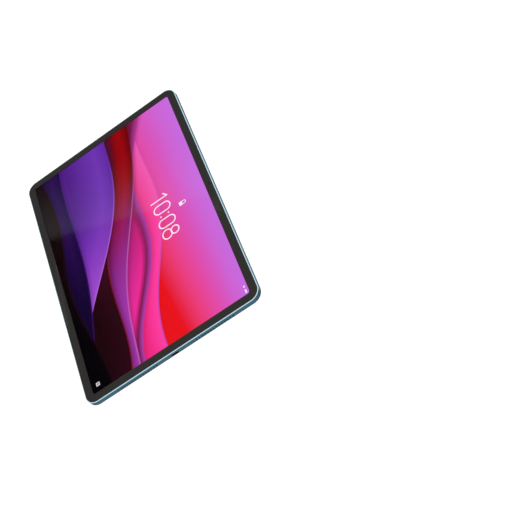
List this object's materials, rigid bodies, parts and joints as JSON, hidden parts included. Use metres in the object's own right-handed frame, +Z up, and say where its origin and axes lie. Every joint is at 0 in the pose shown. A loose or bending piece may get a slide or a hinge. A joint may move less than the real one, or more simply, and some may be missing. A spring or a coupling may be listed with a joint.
{
  "type": "tablet computer",
  "caption": "Slim metal tablet computer with a large glass screen, a glass camera strip with ringed lenses on the back, side speaker grilles and edge keys.",
  "frame": {"origin": "middle of the bottom long edge, at the face of the dock contacts that hold the tablet upright", "axes": "+X to the right as seen from the screen side, +Y from the screen to the back, +Z up the screen in landscape"},
  "size_m": [0.2913, 0.0071, 0.1886],
  "materials": {
    "metal_teal": "bead-blasted and anodised teal, satin",
    "glass_black": "polished cover glass with a black printed border",
    "strip_glass": "polished teal-backed glass",
    "ring_metal": "polished, tinted pale teal",
    "window_glass": "tinted glass with an anti-reflection coating",
    "panel": "lit screen picture",
    "white_film": "frosted white film",
    "acrylic": "clear moulded light guide",
    "steel": "stamped and plated",
    "plate_alloy": "stamped, satin",
    "black_tape": "black foam and adhesive tape",
    "flex_copper": "amber polyimide over copper",
    "diffuser": "milky lens",
    "black_plastic": "fine moulded texture",
    "lens_black": "black lens barrel with a glass element",
    "board": "solder-masked circuit board",
    "chip": "moulded chip package",
    "graphite": "graphite sheet",
    "pouch": "foil battery pouch",
    "gold": "gold-plated",
    "magnet": "nickel-plated magnet",
    "mesh": "woven acoustic mesh"
  },
  "bodies": {
    "tablet": {"rear_housing": "metal_teal", "cover_glass": "glass_black", "glass_gasket": "black_tape", "display_tape": "black_tape", "lcd_panel": "panel", "diffuser_films": "white_film", "light_guide": "acrylic", "backlight_tray": "steel", "display_flex": "flex_copper", "mid_plate": "plate_alloy", "camera_strip": "strip_glass", "strip_tape": "black_tape", "flash_ring": "ring_metal", "main_camera_ring": "ring_metal", "second_camera_ring": "ring_metal", "flash_window": "window_glass", "main_camera_window": "window_glass", "second_camera_window": "window_glass", "flash_diffuser": "diffuser", "flash_led": "board", "main_camera_module": "black_plastic", "second_camera_module": "lens_black", "front_camera_module": "lens_black", "light_sensor": "chip", "power_switch": "flex_copper", "volume_switches": "flex_copper", "speaker_upper_left": "black_plastic", "speaker_lower_left": "black_plastic", "speaker_upper_right": "black_plastic", "speaker_lower_right": "black_plastic", "mesh_upper_left": "mesh", "mesh_lower_left": "mesh", "mesh_upper_right": "mesh", "mesh_lower_right": "mesh", "usb_socket_shell": "steel", "usb_tongue": "black_plastic", "usb_board": "board", "main_board": "board", "processor": "chip", "memory_chips": "chip", "shield_can": "steel", "heat_spreader": "graphite", "battery_left": "pouch", "battery_right": "pouch", "battery_board": "board", "battery_tape": "white_film", "dock_carrier": "black_plastic", "dock_contacts": "gold", "dock_magnets": "magnet", "antenna_left": "gold", "antenna_right": "gold", "microphones": "steel", "board_link_flex": "flex_copper", "screws": "steel"},
    "power_key": {"power_button": "metal_teal"},
    "volume_up_key": {"volume_up_button": "metal_teal"},
    "volume_down_key": {"volume_down_button": "metal_teal"},
    "focus_barrel": {"main_lens_barrel": "lens_black"}
  },
  "joints": [
    {"name": "power_press", "type": "slide", "parent": "tablet", "child": "power_key", "axis": [1, 0, 0], "range_m": [0, 0.00025], "stiffness_N_per_m": 1500},
    {"name": "volume_up_press", "type": "slide", "parent": "tablet", "child": "volume_up_key", "axis": [0, 0, -1], "range_m": [0, 0.00025], "stiffness_N_per_m": 1500},
    {"name": "volume_down_press", "type": "slide", "parent": "tablet", "child": "volume_down_key", "axis": [0, 0, -1], "range_m": [0, 0.00025], "stiffness_N_per_m": 1500},
    {"name": "focus_travel", "type": "slide", "parent": "tablet", "child": "focus_barrel", "axis": [0, 1, 0], "range_m": [0, 0.00025], "stiffness_N_per_m": 300}
  ]
}
